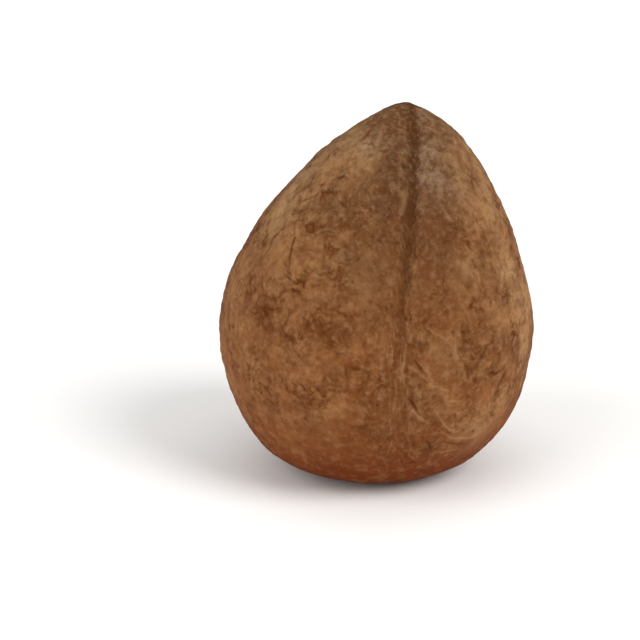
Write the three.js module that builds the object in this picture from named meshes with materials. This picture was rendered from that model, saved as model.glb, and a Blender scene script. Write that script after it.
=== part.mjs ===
// A whole dried coconut kernel, out of its shell: one egg-shaped nut with its brown skin on, standing
// on a small flat spot at its blunt end. Three shallow furrows run up it and meet at the tip, the nut
// swells between them, and three round eye scars sit in the blunt end beside the flat spot.
// Millimetres, +Z up, front at -Y, the origin at the middle of the base.
import * as THREE from "three";
import { mergeVertices } from "three/addons/utils/BufferGeometryUtils.js";

// The nut as a whole. The furrows meet at the tip, which is a little to the right of the highest
// point, on a slope.
const HEIGHT = 104.2; // of the tip
const HALF_WIDTH = 43.15;
const DEPTH_TO_WIDTH = 0.97;
const BELLY_HEIGHT = 42; // where it is widest
const TIP_OFFSET = 8.2; // the tip is this far to the right of the base
const TIP_SLOPE = THREE.MathUtils.degToRad(13.7); // falls to the right
const FLAT_RADIUS = 12;

// Each side of the front outline is a flat foot and two curves, foot to belly and belly to tip.
// These are the lengths of the curves' handles.
const RIGHT_SIDE = { foot: 22.4, belowBelly: 16.9, aboveBelly: 11.9, crown: 22.6 };
const LEFT_SIDE = { foot: 14.2, belowBelly: 30.5, aboveBelly: 28.2, crown: 10.4 };

// Furrows, by azimuth in degrees from +X. The first is the one in front. Levels run along the
// outline, from 0 at the middle of the base to 1 at the tip.
const FURROWS = [
  { azimuth: -80, depth: 1.4 },
  { azimuth: 40, depth: 0.8 },
  { azimuth: 160, depth: 0.9 },
];
const FURROW_HALF_WIDTH = 2.5;
const LOW_FURROW_SHARE = 0.6; // a furrow's depth below the belly, as a share of its depth above it
const DEEPER_FROM_LEVEL = 0.35;
const DEEPER_TO_LEVEL = 0.7;
const LIP_HEIGHT = 0.35;
const LIP_OFFSET = 5.2;
const FURROW_WANDER = THREE.MathUtils.degToRad(2.2);
const WANDER_START = THREE.MathUtils.degToRad(64);
const LOBE_HEIGHT = 0.88; // how far the nut swells between two furrows

// Eye scars, in line with the lobes.
const EYE_RING_RADIUS = 19;
const EYE_RADIUS = 3.4;
const EYE_DEPTH = 0.9;

// Broad swells and dents: a wavelength, a height, and a phase that sets where they fall.
const SWELLS = [
  { length: 65, height: 0.5, phase: 3.19 },
  { length: 34, height: 0.3, phase: 3.49 },
  { length: 19, height: 0.18, phase: 4.95 },
];
const FADE_HEIGHT = 10; // relief dies out this far above the base, so that the foot stays flat

// The mesh. A column falls on each furrow, because 360 / COLUMNS divides their azimuths.
const COLUMNS = 108;
const ROWS = 44;

const HEART = new THREE.Vector3(0, 0, BELLY_HEIGHT);
const bell = (distance, halfWidth) => Math.exp(-((distance / halfWidth) ** 2));

// One side of the outline, from the middle of the base out and up to the tip.
function outlineSide(sign, { foot, belowBelly, aboveBelly, crown }) {
  const at = (x, z) => new THREE.Vector2(x, z);
  const edge = at(sign * FLAT_RADIUS, 0);
  const belly = at(sign * HALF_WIDTH, BELLY_HEIGHT);
  const tip = at(TIP_OFFSET, HEIGHT);
  const path = new THREE.CurvePath();
  path.add(new THREE.LineCurve(at(0, 0), edge));
  path.add(
    new THREE.CubicBezierCurve(
      edge,
      at(edge.x + sign * foot, 0),
      at(belly.x, BELLY_HEIGHT - belowBelly),
      belly,
    ),
  );
  path.add(
    new THREE.CubicBezierCurve(
      belly,
      at(belly.x, BELLY_HEIGHT + aboveBelly),
      at(
        tip.x + sign * crown * Math.cos(TIP_SLOPE),
        tip.y - sign * crown * Math.sin(TIP_SLOPE),
      ),
      tip,
    ),
  );
  return path;
}

const rightSide = outlineSide(1, RIGHT_SIDE);
const leftSide = outlineSide(-1, LEFT_SIDE);

// The smooth egg: the right outline turns into the left one on the way round.
function eggPoint(level, azimuth) {
  const right = rightSide.getPointAt(level);
  const left = leftSide.getPointAt(level);
  const middle = (right.x + left.x) / 2;
  const halfWidth = (right.x - left.x) / 2;
  const share = (1 + Math.cos(azimuth)) / 2;
  return new THREE.Vector3(
    middle + halfWidth * Math.cos(azimuth),
    halfWidth * DEPTH_TO_WIDTH * Math.sin(azimuth),
    THREE.MathUtils.lerp(left.y, right.y, share),
  );
}

// Depth of the furrows and height of the lips beside them, where the nut has this radius.
function furrowRelief(level, azimuth, radius) {
  const rise = THREE.MathUtils.smoothstep(level, DEEPER_FROM_LEVEL, DEEPER_TO_LEVEL);
  const share = THREE.MathUtils.lerp(LOW_FURROW_SHARE, 1, rise);
  let relief = 0;
  for (const furrow of FURROWS) {
    const turn = azimuth - THREE.MathUtils.degToRad(furrow.azimuth);
    const across = Math.abs(Math.atan2(Math.sin(turn), Math.cos(turn))) * radius;
    relief -= share * furrow.depth * bell(across, FURROW_HALF_WIDTH);
    relief += share * LIP_HEIGHT * bell(across - LIP_OFFSET, FURROW_HALF_WIDTH);
  }
  return relief * Math.min(1, radius / (2 * LIP_OFFSET));
}

// Lobes between the furrows: none at the furrows, full halfway between two of them.
function lobeRelief(azimuth, radius) {
  const turn = azimuth - THREE.MathUtils.degToRad(FURROWS[0].azimuth);
  return (LOBE_HEIGHT * (1 - Math.cos(FURROWS.length * turn)) * radius) / HALF_WIDTH / 2;
}

function swellRelief({ x, y, z }) {
  let relief = 0;
  for (const { length, height, phase } of SWELLS) {
    const wave = (2 * Math.PI) / length;
    relief +=
      height *
      Math.sin(wave * x + phase) *
      Math.sin(wave * y + 2 * phase) *
      Math.sin(wave * z + 3 * phase);
  }
  return relief;
}

function eyeRelief({ x, y }) {
  let relief = 0;
  for (const furrow of FURROWS) {
    const azimuth = THREE.MathUtils.degToRad(furrow.azimuth + 180 / FURROWS.length);
    const away = Math.hypot(
      x - EYE_RING_RADIUS * Math.cos(azimuth),
      y - EYE_RING_RADIUS * Math.sin(azimuth),
    );
    relief -= EYE_DEPTH * bell(away, EYE_RADIUS);
  }
  return relief;
}

function nutPoint(level, azimuth) {
  const wandered = azimuth + FURROW_WANDER * Math.sin(2 * Math.PI * level + WANDER_START);
  const point = eggPoint(level, wandered);
  const outward = point.clone().sub(HEART).normalize();
  const radius = Math.hypot(point.x - TIP_OFFSET * level, point.y);
  const fade = THREE.MathUtils.smoothstep(point.z, 0, FADE_HEIGHT);
  const raised =
    furrowRelief(level, azimuth, radius) + lobeRelief(azimuth, radius) + swellRelief(point);
  const scarred = point.z < BELLY_HEIGHT / 2 ? eyeRelief(point) : 0;
  const onFoot = point.z === 0;
  point.addScaledVector(outward, onFoot ? 0 : raised * fade + scarred);
  point.z = Math.max(point.z, 0);
  return point;
}

// A sphere gives the mesh its columns and rows, and each of its corners moves to the nut's surface.
function kernelGeometry() {
  const geometry = new THREE.SphereGeometry(1, COLUMNS, ROWS).rotateX(Math.PI / 2);
  const corners = geometry.getAttribute("position");
  const direction = new THREE.Vector3();
  for (let i = 0; i < corners.count; i++) {
    direction.fromBufferAttribute(corners, i).normalize();
    const level = 1 - Math.acos(direction.z) / Math.PI;
    const azimuth = Math.atan2(direction.y, direction.x);
    const { x, y, z } = nutPoint(level, azimuth);
    corners.setXYZ(i, x, y, z);
  }
  geometry.deleteAttribute("normal");
  geometry.deleteAttribute("uv");
  geometry.computeBoundingBox();
  const { min, max } = geometry.boundingBox;
  geometry.translate(-(min.x + max.x) / 2, -(min.y + max.y) / 2, -min.z);
  return mergeVertices(geometry, 1e-3);
}

const kernel = new THREE.Mesh(
  kernelGeometry(),
  new THREE.MeshStandardMaterial({ color: 0x8c5d3b, roughness: 0.7, metalness: 0 }),
);
kernel.name = "kernel";

const coconut = new THREE.Group();
coconut.add(kernel);

export default coconut;
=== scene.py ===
"""A whole dried coconut kernel standing on a pale studio floor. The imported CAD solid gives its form,
and this script gives it its dry, wrinkled brown skin."""

import bpy
import math
import numpy as np
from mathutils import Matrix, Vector, noise
from mathutils.bvhtree import BVHTree


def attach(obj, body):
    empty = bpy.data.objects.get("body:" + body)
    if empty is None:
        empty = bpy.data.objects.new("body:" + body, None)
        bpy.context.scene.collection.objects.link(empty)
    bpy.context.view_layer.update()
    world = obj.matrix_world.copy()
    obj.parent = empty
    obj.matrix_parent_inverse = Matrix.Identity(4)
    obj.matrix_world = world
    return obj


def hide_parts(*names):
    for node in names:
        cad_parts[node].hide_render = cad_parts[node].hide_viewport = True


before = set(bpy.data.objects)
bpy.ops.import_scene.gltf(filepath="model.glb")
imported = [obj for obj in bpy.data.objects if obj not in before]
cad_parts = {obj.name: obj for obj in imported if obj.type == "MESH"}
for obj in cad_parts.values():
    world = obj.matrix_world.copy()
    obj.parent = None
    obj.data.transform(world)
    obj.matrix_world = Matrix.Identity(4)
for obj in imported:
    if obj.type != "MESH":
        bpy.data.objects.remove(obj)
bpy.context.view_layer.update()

MM = 0.001

# ---- The camera, at the photograph's viewing angle -------------------------------------------------
FRAME_PX = 640
PX = 0.2796 * MM             # one pixel at the nut
CAMERA_DISTANCE = 550 * MM
CAMERA_ELEVATION = math.radians(18)
TARGET = Vector((0, 0, 50.4 * MM))
TARGET_PX = (376.8, 292.0)   # where the target stands in the photograph
SENSOR_MM = 36
NEAREST_SEEN = 0.01          # metres
FARTHEST_SEEN = 50


def camera():
    data = bpy.data.cameras.new("camera")
    data.sensor_width = SENSOR_MM
    data.lens = SENSOR_MM / FRAME_PX * CAMERA_DISTANCE / PX
    data.clip_start = NEAREST_SEEN
    data.clip_end = FARTHEST_SEEN
    rig = bpy.data.objects.new("camera", data)
    bpy.context.scene.collection.objects.link(rig)
    back = Vector((0, -math.cos(CAMERA_ELEVATION), math.sin(CAMERA_ELEVATION)))
    up = Vector((0, math.sin(CAMERA_ELEVATION), math.cos(CAMERA_ELEVATION)))
    aim = TARGET - Vector((1, 0, 0)) * (TARGET_PX[0] - FRAME_PX / 2) * PX
    aim -= up * (FRAME_PX / 2 - TARGET_PX[1]) * PX
    rig.location = TARGET + back * CAMERA_DISTANCE
    rig.rotation_euler = (aim - rig.location).to_track_quat("-Z", "Y").to_euler()
    bpy.context.scene.camera = rig


camera()

# ---- The skin's mesh. From here on lengths are in millimetres, apart from the studio's. ------------
CELLS = 128                       # along each side of the six patches that cover the nut
HEART = np.array((0, 0, 42.0))    # a point inside, which the rays that place the skin start from
OUTSIDE = 100                     # a distance to the sides that no part of the nut reaches
FACET_ROUNDS = 12                 # rounds of smoothing, which take out the CAD solid's facets
ON_FLOOR = 0.05                   # points of the CAD solid below this height stand on the floor
RELIEF_WHOLE_AT = 6               # the fine relief grows from none at the base to whole at this height


def patchwork(cells):
    """Directions that cover a sphere evenly, as a cube's six sides do, and the quads between them."""
    steps = np.tan(np.linspace(-1, 1, cells + 1) * math.pi / 4)
    u, v = np.meshgrid(steps, steps, indexing="ij")
    corner = np.arange((cells + 1) ** 2).reshape(cells + 1, cells + 1)
    ring = np.stack([corner[:-1, :-1], corner[1:, :-1], corner[1:, 1:], corner[:-1, 1:]], -1)
    ring = ring.reshape(-1, 4)
    directions, quads = [], []
    for axis in range(3):
        for sign in (1, -1):
            side = np.empty(u.shape + (3,))
            side[..., axis] = sign
            side[..., (axis + 1) % 3] = u
            side[..., (axis + 2) % 3] = v
            quads.append((ring if sign > 0 else ring[:, ::-1]) + len(quads) * u.size)
            directions.append(side.reshape(-1, 3))
    directions = np.concatenate(directions)
    directions /= np.linalg.norm(directions, axis=1, keepdims=True)
    # Sides of the cube that meet share the points along their edge.
    kept, where = np.unique(directions.round(7), axis=0, return_inverse=True)
    kept /= np.linalg.norm(kept, axis=1, keepdims=True)
    return kept, where.reshape(-1)[np.concatenate(quads)]


def cad_surface(node):
    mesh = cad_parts[node].data
    corners = [v.co / MM for v in mesh.vertices]
    return BVHTree.FromPolygons(corners, [tuple(p.vertices) for p in mesh.polygons])


class Net:
    """The quads' edges, to smooth a value over the surface with."""

    def __init__(self, quads, count):
        pairs = np.concatenate([quads[:, [k, (k + 1) % 4]] for k in range(4)])
        pairs = np.unique(np.sort(pairs, axis=1), axis=0)
        self.a, self.b, self.count = pairs[:, 0], pairs[:, 1], count
        self.degree = np.bincount(pairs.ravel(), minlength=count)

    def smooth(self, value, rounds):
        for _ in range(rounds):
            total = np.bincount(self.a, value[self.b], self.count)
            total += np.bincount(self.b, value[self.a], self.count)
            value = 0.5 * value + 0.5 * total / self.degree
        return value


def smooth_nut(tree, directions, net):
    """The CAD nut's surface in those directions, without its facets, and which points are on the floor."""
    reach = np.array([tree.ray_cast(Vector(HEART), Vector(d))[3] for d in directions])
    on_floor = (HEART + directions * reach[:, None])[:, 2] < ON_FLOOR
    return HEART + directions * net.smooth(reach, FACET_ROUNDS)[:, None], on_floor


def normals_of(points, quads):
    across = points[quads[:, 2]] - points[quads[:, 0]]
    along = points[quads[:, 3]] - points[quads[:, 1]]
    face = np.cross(across, along)
    total = np.zeros_like(points)
    for k in range(4):
        np.add.at(total, quads[:, k], face)
    return total / np.linalg.norm(total, axis=1, keepdims=True)


# ---- Noise. A shift moves its pattern, so that no two patterns fall together. ----------------------
def smoothstep(low, high, x):
    t = np.clip((x - low) / (high - low), 0, 1)
    return t * t * (3 - 2 * t)


def bell(x, half_width):
    return np.exp(-((x / half_width) ** 2))


def perlin(points, size, shift):
    """Noise from -1 to 1 with features of that size."""
    return np.array([noise.noise(p) for p in (points / size + shift).tolist()])


def folds(points, size, shift):
    """Rounded lumps of that size with soft hollows between them, from 0 to about 1."""
    return np.sqrt(perlin(points, size, shift) ** 2 + 0.01) - 0.1


def patches(points, size, share, shift):
    """1 in patches of that size that cover about that share of the nut, 0 outside, soft between."""
    edge = 0.45 - 0.9 * share
    return smoothstep(edge - 0.12, edge + 0.12, perlin(points, size, shift))


# ---- The furrows, where the CAD nut has them -------------------------------------------------------
DEPTH_TO_WIDTH = 0.97
FURROW_AZIMUTHS = np.radians([-80, 40, 160])    # the first one is in front
FURROW_WANDER = math.radians(2.2)               # on its way up a furrow swings this far to each side
WANDER_START = math.radians(64)
TIP = (8.0, 104.2)      # x and z, where the furrows meet
FRONT_SHARE = 0.59      # a ring's height in front is this far from its left height to its right one
RINGS = 60
END_GAP = 0.3           # the outline is measured from this far above the base to this far below the tip
BANK_OFFSET = 2.2       # a furrow's bank is this far to its left, seen from outside
FRONT_WHOLE = math.radians(20)    # the front reaches this far to each side of the front furrow, and
FRONT_GONE = math.radians(62)     # it has faded out here
EYE_RING_RADIUS = 19    # the eye scars' distance from the middle of the base


def outline(tree, sign, levels):
    """The x and z of one side of the nut's outline, at levels that run along it from base to tip."""
    side = [(0, 0)]
    for z in np.linspace(END_GAP, TIP[1] - END_GAP, RINGS):
        edge = tree.ray_cast(Vector((OUTSIDE * sign, 0, z)), Vector((-sign, 0, 0)))[0]
        side.append((edge.x, z))
    side = np.array(side + [TIP])
    lengths = np.linalg.norm(np.diff(side, axis=0), axis=1).cumsum()
    return [np.interp(levels * lengths[-1], np.append(0, lengths), side[:, k]) for k in (0, 1)]


def rings(tree):
    """Rings of the nut from base to tip: the height in front, the middle x and the level from 0 to 1."""
    levels = np.linspace(0, 1, RINGS)
    left_x, left_z = outline(tree, -1, levels)
    right_x, right_z = outline(tree, 1, levels)
    return left_z + FRONT_SHARE * (right_z - left_z), (left_x + right_x) / 2, levels


def furrow_angles(tree, points):
    """The angle from each point to each furrow, and the nut's radius at the point."""
    heights, middles, levels = rings(tree)
    x = points[:, 0] - np.interp(points[:, 2], heights, middles)
    y = points[:, 1] / DEPTH_TO_WIDTH
    level = np.interp(points[:, 2], heights, levels)
    azimuth = np.arctan2(y, x) - FURROW_WANDER * np.sin(2 * math.pi * level + WANDER_START)
    turn = azimuth[:, None] - FURROW_AZIMUTHS
    return np.arctan2(np.sin(turn), np.cos(turn)), np.hypot(x, y)


def eye_gap(points):
    """How far each point near the blunt end is from the nearest eye scar. Higher up it is never near."""
    azimuths = FURROW_AZIMUTHS + math.pi / 3
    eyes = EYE_RING_RADIUS * np.stack([np.cos(azimuths), np.sin(azimuths)], 1)
    away = np.linalg.norm(points[:, None, :2] - eyes, axis=2).min(axis=1)
    return np.where(points[:, 2] < HEART[2] / 2, away, EYE_RING_RADIUS)


# ---- What the photograph shows on the front --------------------------------------------------------
# The paths and some of the patches' places were picked by hand as pixels, and a script that isn't
# kept turned them into millimetres.
# A few were then moved, and the other patches were placed one by one.
# Cracks and raised threads: a strength, and a path as x and z.
CRACKS = [
    (0.7, [(-22.9, 76.3), (-26.1, 73.2), (-28.2, 71.0), (-28.7, 69.0), (-31.1, 65.7)]),
    (0.9, [(-22.2, 76.2), (-21.9, 73.3), (-22.6, 71.3), (-23.1, 69.1), (-23.2, 65.0)]),
    (0.35, [(-21.8, 71.0), (-18.5, 71.0), (-14.8, 71.1), (-11.5, 71.6)]),
    (0.6, [(-12.6, 85.0), (-10.0, 82.9), (-8.1, 81.8), (-6.0, 80.6), (-2.0, 81.0)]),
    (0.5, [(13.7, 53.7), (15.8, 51.4)]),
    (0.9, [(9.3, 45.7), (12.6, 41.2)]),
    (1.0, [(8.1, 35.1), (9.9, 32.7), (11.6, 28.7)]),
    (0.6, [(17.5, 19.9), (21.4, 17.7), (25.6, 16.4)]),
    (0.8, [(13.3, 21.3), (14.6, 18.2), (14.9, 15.7)]),
    (0.9, [(29.8, 38.4), (32.0, 37.1), (34.8, 38.3)]),
]
THREADS = [
    (0.15, [(6.8, 84.8), (6.5, 82.0), (6.6, 80.3)]),
    (0.2, [(6.3, 77.9), (6.5, 75.5), (6.3, 72.6)]),
    (1.0, [(7.7, 50.6), (7.2, 44.8), (6.4, 38.6)]),
    (0.8, [(9.5, 43.1), (13.9, 38.8)]),
    (0.8, [(14.1, 52.9), (18.4, 49.1)]),
    (1.0, [(9.0, 31.7), (12.5, 27.6), (14.2, 26.4)]),
    (1.0, [(15.4, 30.7), (18.1, 25.1), (19.9, 22.9), (22.1, 21.9), (23.4, 22.9)]),
    (1.0, [(16.4, 24.4), (19.9, 20.5), (25.3, 18.7), (28.9, 19.4), (31.5, 21.5)]),
    (0.7, [(16.5, 36.7), (19.1, 35.3)]),
    (0.8, [(17.4, 32.8), (22.8, 31.7)]),
    (0.7, [(20.5, 28.8), (23.2, 28.2)]),
    (0.6, [(14.4, 73.7), (16.1, 71.2)]),
    (1.0, [(15.3, 16.3), (21.9, 15.5)]),
]
# Patches: x, z, radius and strength.
DARK = [
    (27.7, 67.3, 5.0, 0.7), (23.3, 63.3, 3.0, 0.7), (28.1, 59.7, 3.0, 0.7), (34.0, 55.5, 3.0, 0.7),
    (25.6, 50.0, 6.0, 0.8), (27.5, 44.0, 4.5, 0.75), (15.0, 50.0, 4.0, 0.45), (20.5, 46.5, 3.5, 0.5),
    (25.5, 38.2, 3.5, 0.95), (31.0, 38.5, 4.5, 0.95), (33.5, 45.0, 5.0, 0.9), (14.0, 18.0, 4.0, 0.8),
    (-4.0, 84.0, 7.0, 0.7), (-9.5, 80.5, 8.0, 1.0), (17.0, 78.5, 7.0, 1.0), (19.0, 96.5, 6.0, 0.8),
    (13.0, 70.0, 6.0, 0.5), (4.3, 101.5, 7.0, 0.9), (11.0, 33.0, 9.0, 0.6), (16.9, 30.1, 6.0, 0.45),
    (5.7, 39.6, 4.0, 0.5), (-31.0, 68.6, 6.0, 0.3), (5.2, 92.0, 4.5, 1.0), (4.4, 87.0, 4.5, 0.7),
    (3.7, 82.0, 3.5, 0.6), (-9.4, 89.7, 2.0, 0.8), (-17.7, 86.2, 2.2, 0.7), (-13.8, 90.7, 1.6, 0.7),
    (-19.8, 78.7, 1.8, 0.6), (-3.8, 78.4, 2.0, 0.8), (0.0, 82.7, 2.0, 0.8), (1.0, 98.5, 4.0, 0.9),
]
# Dusty patches near the tip. Those just right of the front furrow also paint the highlight on its lit lip.
DUST_AND_HIGHLIGHT = [
    (-2.5, 96.0, 4.0, 0.9), (13.8, 88.5, 5.0, 1.0), (12.8, 94.0, 4.0, 1.0),
    (19.0, 84.5, 5.0, 0.4), (20.0, 96.0, 4.0, 0.3),
]
# Pale patches, partly the skin's own colour and partly painted light on the left and right edges in front.
PALE = [
    (-22.0, 83.5, 6.0, 1.0), (-15.8, 90.0, 6.0, 0.5), (-7.7, 96.7, 5.0, 0.9), (-26.0, 77.5, 7.0, 1.0),
    (31.5, 77.0, 7.0, 0.5), (35.5, 62.0, 8.0, 0.8), (39.0, 53.5, 10.0, 0.75), (40.0, 42.0, 8.0, 0.75),
    (-3.5, 65.0, 8.0, 0.6), (34.0, 27.0, 6.0, 0.5), (27.0, 18.5, 8.0, 1.0), (21.7, 67.5, 6.0, 0.8),
    (18.5, 45.5, 4.0, 0.35),
]
FRONT_EDGE = -20    # the y where patches other than these start, on the way to the back
BACK_EDGE = 10      # the y where those have their full strength


def front_point(tree, x, z):
    """The point of the nut's front at this x and z."""
    return tree.ray_cast(Vector((x, -OUTSIDE, z)), Vector((0, 1, 0)))[0]


def spots(tree, points, known, elsewhere):
    """The known patches in front, and other ones on the sides and the back."""
    value = elsewhere * smoothstep(FRONT_EDGE, BACK_EDGE, points[:, 1])
    for x, z, radius, strength in known:
        away = np.linalg.norm(points - np.array(front_point(tree, x, z)), axis=1)
        value = np.maximum(value, strength * bell(away, radius))
    return value


def places(tree, points):
    """What the looks depend on at each point: its place among the furrows, the lobes and the patches."""
    angles, radius = furrow_angles(tree, points)
    nearest = np.argmin(np.abs(angles), axis=1)
    across = angles[np.arange(len(points)), nearest] * radius
    near_tip = smoothstep(78, 90, points[:, 2])
    return {
        "furrow": np.abs(across),
        "bank": np.abs(across + BANK_OFFSET),
        # 0 in the furrows and 1 halfway between two of them.
        "lobe": (1 - np.cos(len(FURROW_AZIMUTHS) * angles[:, 0])) / 2,
        "front": smoothstep(FRONT_GONE, FRONT_WHOLE, np.abs(angles[:, 0])),
        "dark": spots(tree, points, DARK, 0.7 * patches(points, 13, 0.25, 71.0)),
        "dust_and_highlight": spots(tree, points, DUST_AND_HIGHLIGHT, 0.8 * patches(points, 9, 0.3, 31.0) * near_tip),
        "pale": spots(tree, points, PALE, 0.6 * patches(points, 17, 0.3, 43.0)),
    }


# ---- Strokes: cracks and raised threads, each a path over the surface ------------------------------
STROKE_REACH = 2.2       # how far from a stroke its distance is kept
STROKE_FADE = 1.2        # a stroke starts to fade at this distance, and is gone at its reach
STROKE_STEPS = (2, 6)    # a random stroke has at least the first number of steps, and fewer than the second
SEED = 7
# How many random strokes, the length of a step, the spread of its turns in radians, and the strengths.
RANDOM_CRACKS = {"count": 450, "step": 0.9, "bend": 0.35, "strengths": (0.1, 0.4)}
RANDOM_THREADS = {"count": 260, "step": 1.2, "bend": 0.25, "strengths": (0.2, 0.6)}


def wander(tree, random, start, heading, steps, step, bend):
    """A path over the surface from a start, which turns by a random angle at each step."""
    place, normal = tree.find_nearest(start)[:2]
    path = [place]
    for _ in range(steps):
        heading = (heading - normal * heading.dot(normal)).normalized()
        turn = random.normal(0, bend)
        heading = heading * math.cos(turn) + normal.cross(heading) * math.sin(turn)
        place, normal = tree.find_nearest(place + heading * step)[:2]
        path.append(place)
    return path


def taper(share):
    """A stroke's strength at this share of its length: weak at both ends."""
    return np.sin(np.pi * np.clip(share, 0.02, 0.98)) ** 0.6


class Strokes:
    """Each point's distance from the nearest stroke, negative on its right, and the stroke's strength."""

    def __init__(self, points, normals):
        self.points, self.normals = points, normals
        self.away = np.full(len(points), STROKE_REACH)
        self.strength = np.zeros(len(points))

    def draw(self, path, strength):
        """Draws a stroke of that strength, from step to step of its path."""
        path = np.array(path)
        low = path.min(0) - STROKE_REACH
        high = path.max(0) + STROKE_REACH
        near = np.flatnonzero(((self.points > low) & (self.points < high)).all(1))
        lengths = np.linalg.norm(np.diff(path, axis=0), axis=1)
        done = 0.0
        for start, end, length in zip(path[:-1], path[1:], lengths):
            along = (end - start) / length
            gap = self.points[near] - start
            step = np.clip(gap @ along, 0, length)
            away = np.linalg.norm(gap - step[:, None] * along, axis=1)
            side = np.einsum("ij,ij->i", np.cross(along, gap), self.normals[near])
            within = smoothstep(STROKE_REACH, STROKE_FADE, away)
            faded = strength * taper((done + step) / lengths.sum()) * within
            closer = away < np.abs(self.away[near])
            self.away[near[closer]] = np.where(side < 0, -away, away)[closer]
            self.strength[near[closer]] = faded[closer]
            done += length

    def profile(self, half_width):
        """1 along the middle of the strongest strokes, and 0 well away from any."""
        return self.strength * bell(self.away, half_width)


def scatter(marks, tree, random, chance, count, step, bend, strengths):
    """Random strokes, which start more often where the chance is high."""
    for spot in random.choice(len(chance), count, p=chance / chance.sum()):
        heading = Vector(random.normal(0, 1, 3))
        steps = random.integers(*STROKE_STEPS)
        path = wander(tree, random, marks.points[spot], heading, steps, step, bend)
        marks.draw(path, random.uniform(*strengths))


def draw_marks(tree, points, normals, furrow, dark):
    """Every crack and thread: random ones outside the furrows, most cracks in the dark patches, and
    the known ones in front."""
    random = np.random.default_rng(SEED)
    cracks = Strokes(points, normals)
    threads = Strokes(points, normals)
    beside = 1 - bell(furrow, 4.0)
    scatter(cracks, tree, random, (0.10 + 0.9 * dark) * beside, **RANDOM_CRACKS)
    scatter(threads, tree, random, beside, **RANDOM_THREADS)
    for marks, known in ((cracks, CRACKS), (threads, THREADS)):
        for strength, path in known:
            marks.draw([front_point(tree, x, z) for x, z in path], strength)
    return cracks, threads


# ---- The fine relief, and the piece ----------------------------------------------------------------
LIFT = 0.10             # the whole skin stands this far out
SWELLS = ((16, 0.09, 5.0), (8, 0.06, 9.0))    # broad ones: size, height and shift
WRINKLE_HEIGHT = 0.33
WRINKLE_BEND = 2.4      # how far the wrinkles are pulled out of line
THREAD_HEIGHT = 0.24
CRACK_DEPTH = 0.28
FIBRE_HEIGHT = 0.10
GROOVE_DEPTH = 0.50
PIT_DEPTH = 0.18
HOLLOW_ROUNDS = 30      # rounds of smoothing, which give the height that hollows and lumps are told by
HOLLOW_DEPTH = 0.2      # a hollow this deep below that height is a full one


def wrinkles(points, dark):
    """Rounded wrinkles of two sizes, and a finer roughness, most of it in the dark patches."""
    bent = points + WRINKLE_BEND * np.stack([perlin(points, 8, shift) for shift in (3.1, 7.7, 12.3)], 1)
    rounded = WRINKLE_HEIGHT * folds(bent, 5.2, 2.0) + WRINKLE_HEIGHT * folds(bent, 2.7, 4.0) - 0.04
    return rounded + (0.04 + 0.18 * dark) * perlin(bent, 1.6, 11.0)


def relief(points, furrow, cracks, threads, dark):
    """Height of the fine relief over the smooth nut."""
    z = points[:, 2]
    height = sum(rise * perlin(points, size, shift) for size, rise, shift in SWELLS) + LIFT
    # The wrinkles are lower in the furrows and towards the foot.
    height += wrinkles(points, dark) * (1 - 0.8 * bell(furrow, 2.2)) * (0.6 + 0.4 * smoothstep(8, 40, z))
    height += THREAD_HEIGHT * threads.profile(0.65) - CRACK_DEPTH * cracks.profile(0.8)
    # Fibres run up each furrow, ten times as long as they are wide.
    fibres = perlin(np.stack([furrow / 0.9, z / 9, 0 * furrow], 1), 1.0, 13.0)
    height += bell(furrow, 4.5) * FIBRE_HEIGHT * fibres
    # The line in the middle of a furrow deepens on its way up, and ends below the tip.
    height -= bell(furrow, 1.4) * GROOVE_DEPTH * smoothstep(10, 78, z) * smoothstep(103, 98, z)
    return height - PIT_DEPTH * smoothstep(0.42, 0.62, perlin(points, 2.1, 51.0))


def raised(points, normals, height, on_floor):
    """The points with the fine relief, which leaves the flat spot flat and nothing below the floor."""
    points = points + normals * (height * smoothstep(0, RELIEF_WHOLE_AT, points[:, 2]))[:, None]
    points[:, 2] = np.maximum(points[:, 2], 0)
    points[on_floor, 2] = 0
    return points


def new_piece(name, points, quads, looks):
    """A smooth piece, whose mesh holds each of the looks as an attribute that its shader reads."""
    mesh = bpy.data.meshes.new(name)
    mesh.from_pydata((points * MM).tolist(), [], quads.tolist())
    mesh.shade_smooth()
    for key, value in looks.items():
        mesh.attributes.new(key, "FLOAT", "POINT").data.foreach_set("value", value.astype(np.float32))
    piece = bpy.data.objects.new(name, mesh)
    bpy.context.scene.collection.objects.link(piece)
    return piece


def skin():
    directions, quads = patchwork(CELLS)
    net = Net(quads, len(directions))
    tree = cad_surface("kernel")
    points, on_floor = smooth_nut(tree, directions, net)
    normals = normals_of(points, quads)
    looks = places(tree, points)
    cracks, threads = draw_marks(tree, points, normals, looks["furrow"], looks["dark"])
    height = relief(points, looks["furrow"], cracks, threads, looks["dark"])
    points = raised(points, normals, height, on_floor)
    looks["eye"] = eye_gap(points)
    # How far each point lies below or above the smoothed relief, for painted shade in hollows and painted
    # highlight on lumps.
    looks["hollow"] = np.clip((net.smooth(height, HOLLOW_ROUNDS) - height) / HOLLOW_DEPTH, -1, 1)
    looks["crack"] = cracks.away
    looks["crack_strength"] = cracks.strength
    looks["thread"] = threads.away
    looks["thread_strength"] = threads.strength
    return new_piece("nut_skin", points, quads, looks)


# ---- Materials -------------------------------------------------------------------------------------
def colour(hexed):
    """A colour as it shows on screen, such as "8c5d3b", as Blender's linear red, green, blue and alpha."""
    shown = [int(hexed[k:k + 2], 16) / 255 for k in (0, 2, 4)]
    return [c / 12.92 if c <= 0.04045 else ((c + 0.055) / 1.055) ** 2.4 for c in shown] + [1.0]


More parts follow.
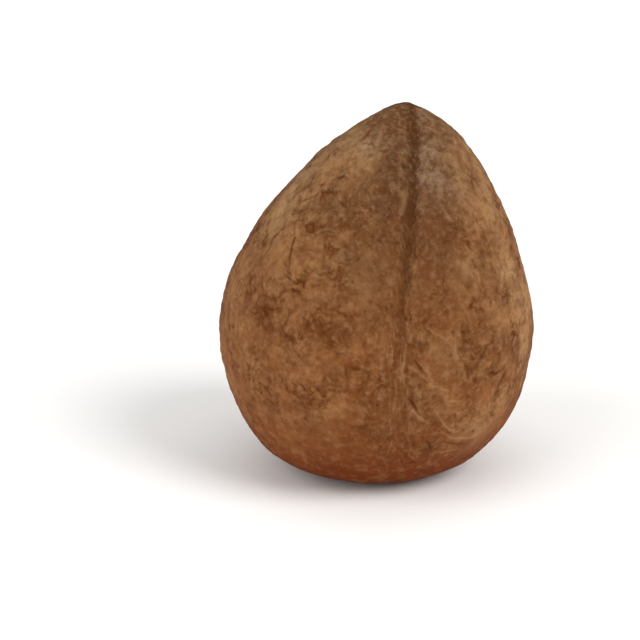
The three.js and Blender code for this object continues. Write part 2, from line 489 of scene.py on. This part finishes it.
class Shader:
    """Short calls for the nodes of one material."""

    def __init__(self, name):
        self.material = bpy.data.materials.new(name)
        self.material.use_nodes = True
        self.tree = self.material.node_tree
        self.surface = self.tree.nodes["Principled BSDF"]

    def set(self, node, inputs):
        """Sets a node's inputs. A value that another node gives is linked."""
        for key, value in inputs.items():
            socket = node.inputs[key]
            if isinstance(value, bpy.types.NodeSocket):
                self.tree.links.new(value, socket)
            else:
                socket.default_value = value

    def add(self, kind, inputs, **settings):
        node = self.tree.nodes.new("ShaderNode" + kind)
        for key, value in settings.items():
            setattr(node, key, value)
        self.set(node, inputs)
        return node

    def attribute(self, name):
        return self.add("Attribute", {}, attribute_name=name).outputs["Fac"]

    def math(self, operation, a, b=0.0):
        return self.add("Math", {0: a, 1: b}, operation=operation).outputs[0]

    def times(self, *values):
        product = values[0]
        for value in values[1:]:
            product = self.math("MULTIPLY", product, value)
        return product

    def total(self, *values):
        total = values[0]
        for value in values[1:]:
            total = self.math("ADD", total, value)
        return total

    def ramp(self, value, low, high):
        """0 at low and 1 at high, smooth between and level outside. Low may be above high."""
        inputs = {"Value": value, "From Min": low, "From Max": high}
        return self.add("MapRange", inputs, interpolation_type="SMOOTHSTEP").outputs[0]

    def vector(self, operation, place, x, y, z):
        return self.add("VectorMath", {0: place, 1: (x, y, z)}, operation=operation).outputs[0]

    def noise(self, place, size, detail=3.0, rough=0.55, **more):
        """Noise around 0.5 with features of that size."""
        inputs = {"Vector": place, "Scale": 1 / size, "Detail": detail, "Roughness": rough}
        return self.add("TexNoise", inputs | more).outputs[0]

    def mix(self, share, under, over):
        """One colour laid over another, by the numbers of the Mix node's colour sockets."""
        return self.add("Mix", {0: share, 6: under, 7: over}, data_type="RGBA").outputs[2]


class SkinShader(Shader):
    """The skin's shader, with the values that its layers of colour and its bump are made of."""

    def __init__(self):
        super().__init__("dry_brown_skin")
        object_place = self.add("TexCoord", {}).outputs["Object"]
        self.place = self.vector("MULTIPLY", object_place, 1 / MM, 1 / MM, 1 / MM)
        self.z = self.add("SeparateXYZ", {"Vector": self.place}).outputs["Z"]
        self.read_mesh()
        self.make_noises()
        self.make_zones()

    def read_mesh(self):
        """The mesh's attributes: distances for furrow, bank and eye, and -1 to 1 or 0 to 1 for the rest.
        Eye scars, cracks and threads get ragged edges."""
        self.furrow = self.attribute("furrow")
        self.bank = self.attribute("bank")
        self.lobe = self.attribute("lobe")
        self.front = self.attribute("front")
        self.dark = self.attribute("dark")
        self.dust_and_highlight = self.attribute("dust_and_highlight")
        self.pale = self.attribute("pale")
        self.hollow = self.attribute("hollow")
        self.eye = self.total(self.attribute("eye"), self.times(self.noise(self.place, 3, 2), 2))
        self.ragged = self.times(self.total(self.noise(self.place, 0.7, 2), -0.5), 0.5)
        self.crack = self.line("crack", 0.45)
        self.thread = self.line("thread", 0.6)

    def make_noises(self):
        """Noises from the broadest to the finest, streaks about seven times as long as they are wide,
        and folds of two sizes."""
        self.broad = self.noise(self.place, 24, 3, 0.5)
        self.tone = self.noise(self.place, 9, 4, 0.55)
        self.cluster = self.noise(self.place, 7, 2, 0.5)
        self.hue = self.noise(self.place, 5.5, 4, 0.6)
        self.blotch = self.noise(self.place, 3.2, 3, 0.5)
        self.grain = self.noise(self.place, 1.7, 4, 0.55)
        self.speck = self.noise(self.place, 1.3, 2, 0.5)
        self.streak = self.noise(self.vector("MULTIPLY", self.place, 1, 1, 0.14), 1.0, 3, 0.6)
        self.coarse = self.folds(6.0, 0, detail=2, rough=0.45, Distortion=0.4)
        self.close = self.folds(3.0, 40, detail=1.5, rough=0.4, Distortion=0.3)

    def make_zones(self):
        """Where on the nut some of the layers show, and the creases and pits themselves."""
        # Beside the furrows, from a little above the foot up.
        self.beside = self.times(self.ramp(self.furrow, 10.0, 2.0), self.ramp(self.z, 4, 20))
        # The upper slope, darkest round the front furrow.
        towards_furrow = self.ramp(self.lobe, 0.75, 0.05)
        towards_front = self.ramp(self.front, -0.8, 1.0)
        self.upper = self.times(self.ramp(self.z, 45, 90), towards_furrow, towards_front)
        # Large patches with many creases, off the furrows and weak where the skin is pale.
        restless = self.ramp(self.noise(self.place, 11, 2), 0.42, 0.58)
        off_furrow = self.ramp(self.furrow, 1.0, 2.6)
        self.busy = self.times(restless, off_furrow, self.ramp(self.pale, 1.4, 0.2))
        # The creases are the valleys of the bump's folds, where the colour paints shade.
        close_creases = self.times(self.ramp(self.close, 0.08, 0.0), self.ramp(self.cluster, 0.4, 0.6))
        self.creases = self.total(self.ramp(self.coarse, 0.08, 0.0), close_creases)
        # Pits come in clusters, most of all in the dark patches, and none is on the middle of a lobe.
        pitted = self.ramp(self.total(self.cluster, self.times(self.dark, 0.2)), 0.5, 0.62)
        self.pits = self.times(self.ramp(self.speck, 0.42, 0.34), pitted, self.ramp(self.lobe, 0.9, 0.5))

    def line(self, name, half_width):
        """1 along the strokes of that name where they are strong, with a ragged edge."""
        away = self.math("ABSOLUTE", self.total(self.attribute(name), self.ragged))
        edge = self.ramp(away, half_width, 0.2 * half_width)
        return self.times(edge, self.attribute(name + "_strength"))

    def folds(self, size, shift, **more):
        """How far a noise is from its middle: 0 along winding lines, which bound rounded lumps."""
        shifted = self.vector("ADD", self.place, shift, 0, 0)
        return self.math("ABSOLUTE", self.total(self.noise(shifted, size, **more), -0.5))


# The layers of colour, from the lowest up. Each has a share, from 0 to 1, and its colour.
def broad_layers(s):
    """The skin's tones, and the pale patches."""
    return [
        (s.ramp(s.hue, 0.36, 0.64), "77512e"),
        # Lighter between the furrows: partly the skin's tone, partly painted light in place of the brighter
        # flanks.
        (s.times(s.ramp(s.lobe, 0.1, 0.75), s.ramp(s.broad, 0.25, 0.6), 0.8), "8f623e"),
        (s.times(s.ramp(s.z, 66, 34), 0.45), "854d29"),
        # Pale patches: partly the skin's colour, partly painted light on the edges in front.
        (s.times(s.pale, 0.75), "ae8960"),
        (s.times(s.ramp(s.z, 66, 95), s.ramp(s.lobe, 0.0, 0.5), 0.4), "8a7250"),
        (s.times(s.ramp(s.tone, 0.47, 0.68), 0.5), "97693e"),
        (s.times(s.ramp(s.tone, 0.52, 0.32), 0.48), "613414"),
    ]


def zone_layers(s):
    """The dark upper slope in front, the tip, the foot, the eye scars, the banks and the patches."""
    return [
        (s.times(s.upper, 0.95), "523b26"),
        (s.times(s.ramp(s.z, 92, 103), 0.7), "553d29"),
        # Darker and redder towards the foot: partly the skin's redder colour, partly painted shade on the
        # lower part.
        (s.times(s.ramp(s.z, 32, 4), 0.9), "692a07"),
        (s.times(s.ramp(s.z, 5, 0.5), 0.6), "6a4228"),
        (s.times(s.ramp(s.eye, 6.0, 4.5), s.ramp(s.eye, 3.0, 4.5), 0.5), "8c6040"),
        (s.times(s.ramp(s.eye, 4.6, 2.6), 0.7), "402317"),
        (s.times(s.dark, s.ramp(s.tone, 0.3, 0.5), 0.7), "4e2c14"),
        (s.times(s.dark, s.ramp(s.blotch, 0.45, 0.65), 0.25), "8a5c38"),
        (s.times(s.ramp(s.bank, 5.5, 1.0), s.ramp(s.z, 0, 60), 0.32), "5c3418"),
        # Dust, and a painted highlight on the front furrow's right lip.
        (s.times(s.dust_and_highlight, s.ramp(s.grain, 0.25, 0.65), 0.7), "9c8068"),
    ]


def mottle_layers(s):
    """Light and dark blotches, grain, pits, streaks beside the furrows, and specks of painted highlight."""
    return [
        (s.times(s.ramp(s.blotch, 0.52, 0.68), 0.2), "a87c50"),
        (s.times(s.ramp(s.blotch, 0.48, 0.32), s.ramp(s.z, -10, 45), 0.34), "5a2d0e"),
        (s.times(s.ramp(s.grain, 0.5, 0.72), 0.18), "b08a66"),
        (s.times(s.ramp(s.grain, 0.5, 0.3), s.ramp(s.z, -5, 45), 0.34), "582c0c"),
        (s.times(s.pits, 0.7), "52260c"),
        (s.times(s.ramp(s.streak, 0.5, 0.3), s.beside, 0.4), "552a0e"),
        (s.times(s.ramp(s.streak, 0.5, 0.68), s.beside, 0.22), "b08a68"),
        # Pale specks on the bump's high points: painted highlights.
        (s.times(s.ramp(s.speck, 0.6, 0.7), s.ramp(s.z, 10, 50), 0.18), "b8906c"),
    ]


def relief_layers(s):
    """Painted shade in hollows and painted highlight on lumps, the upper slope and the warm middle, the
    furrows' dark line, painted shade in the creases, threads with a painted highlight, and cracks."""
    furrow_line = s.ramp(s.total(s.furrow, s.ragged), 2.8, 0.4)
    around_middle = s.times(s.ramp(s.z, 42, 60), s.ramp(s.z, 92, 74))
    off_dark = s.ramp(s.total(s.dark, s.upper), 1.5, 0.2)
    return [
        # Painted shade in the hollows of the relief.
        (s.times(s.ramp(s.hollow, 0.1, 1.0), 0.35), "52260a"),
        # Painted highlight on the lumps of the relief.
        (s.times(s.ramp(s.hollow, -0.1, -1.0), s.ramp(s.z, 4, 34), 0.22), "ae8860"),
        (s.times(s.upper, 0.18), "64442e"),
        (s.times(around_middle, s.ramp(s.lobe, 0.8, 0.2), 0.28), "703d1a"),
        (s.times(furrow_line, s.ramp(s.z, 28, 94), s.ramp(s.streak, 0.85, 0.35), 0.88), "46280f"),
        # Painted shade along the valleys of the wrinkles.
        (s.times(s.creases, s.busy, s.ramp(s.z, -20, 60), off_dark, 0.64), "5c3012"),
        # Lighter along the raised threads: painted highlight.
        (s.times(s.thread, 0.2), "b4855e"),
        (s.times(s.crack, 0.65), "4c1f08"),
    ]


def skin_colour(s):
    """The skin's own colour with every layer over it."""
    base = colour("7a4c2b")
    for share, over in broad_layers(s) + zone_layers(s) + mottle_layers(s) + relief_layers(s):
        base = s.mix(share, base, colour(over))
    return base


def skin_height(s):
    """The bump on top of the mesh's own relief: each part has its height in millimetres."""
    upward = s.ramp(s.z, -20, 100)
    wrinkled = s.times(s.total(s.busy, 0.3), s.ramp(s.z, 6, 26))
    parts = (
        (s.times(s.ramp(s.coarse, 0.0, 0.24), wrinkled), 0.5),
        (s.times(s.ramp(s.close, 0.0, 0.24), wrinkled), 0.35),
        (s.blotch, 0.4),
        (s.times(s.grain, upward), 0.4),
        (s.times(s.speck, upward), 0.45),
        (s.crack, -0.25),
        (s.thread, 0.2),
        (s.times(s.streak, s.beside), 0.5),
    )
    return s.total(*(s.times(part, height) for part, height in parts))


def skin_material():
    s = SkinShader()
    bump = s.add("Bump", {"Strength": 1.0, "Distance": MM, "Height": skin_height(s)})
    s.set(s.surface, {
        "Base Color": skin_colour(s),
        "Roughness": s.add("MapRange", {"Value": s.tone, "To Min": 0.55, "To Max": 0.9}).outputs[0],
        "Specular IOR Level": 0.04,
        "Normal": bump.outputs[0],
    })
    return s.material


def floor_material():
    s = Shader("pale_floor")
    s.set(s.surface, {"Base Color": colour("fbfaf8"), "Roughness": 0.85, "Specular IOR Level": 0.2})
    return s.material


# ---- The studio ------------------------------------------------------------------------------------
FLOOR_REACH = 12.0    # metres
LAMPS = {    # broad ones, far away: where each shines from, its strength, and its width in degrees
    "right": ((1.0, -0.65, 1.0), 2.0, 35),
    "left": ((-1.0, -0.7, 0.8), 1.15, 50),
    "top": ((0.0, 0.2, 1.0), 0.5, 60),
}
SKY_COLOUR = "f3f3f3"
SKY_STRENGTH = 0.52


def floor():
    mesh = bpy.data.meshes.new("floor")
    corners = [(x * FLOOR_REACH, y * FLOOR_REACH, 0) for x, y in ((-1, -1), (1, -1), (1, 1), (-1, 1))]
    mesh.from_pydata(corners, [], [(0, 1, 2, 3)])
    mesh.materials.append(floor_material())
    piece = bpy.data.objects.new("floor", mesh)
    bpy.context.scene.collection.objects.link(piece)


def lamp(name, place, strength, width):
    data = bpy.data.lights.new(name, "SUN")
    data.energy = strength
    data.angle = math.radians(width)
    piece = bpy.data.objects.new(name, data)
    piece.location = place
    piece.rotation_euler = (-Vector(place)).to_track_quat("-Z", "Y").to_euler()
    bpy.context.scene.collection.objects.link(piece)


def studio():
    floor()
    for name, (place, strength, width) in LAMPS.items():
        lamp(name, place, strength, width)
    world = bpy.data.worlds.new("studio")
    world.use_nodes = True
    sky = world.node_tree.nodes["Background"].inputs
    sky["Color"].default_value = colour(SKY_COLOUR)
    sky["Strength"].default_value = SKY_STRENGTH
    bpy.context.scene.world = world
    bpy.context.scene.view_settings.view_transform = "Standard"


nut = skin()
nut.data.materials.append(skin_material())
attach(nut, "root")
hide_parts("kernel")
studio()
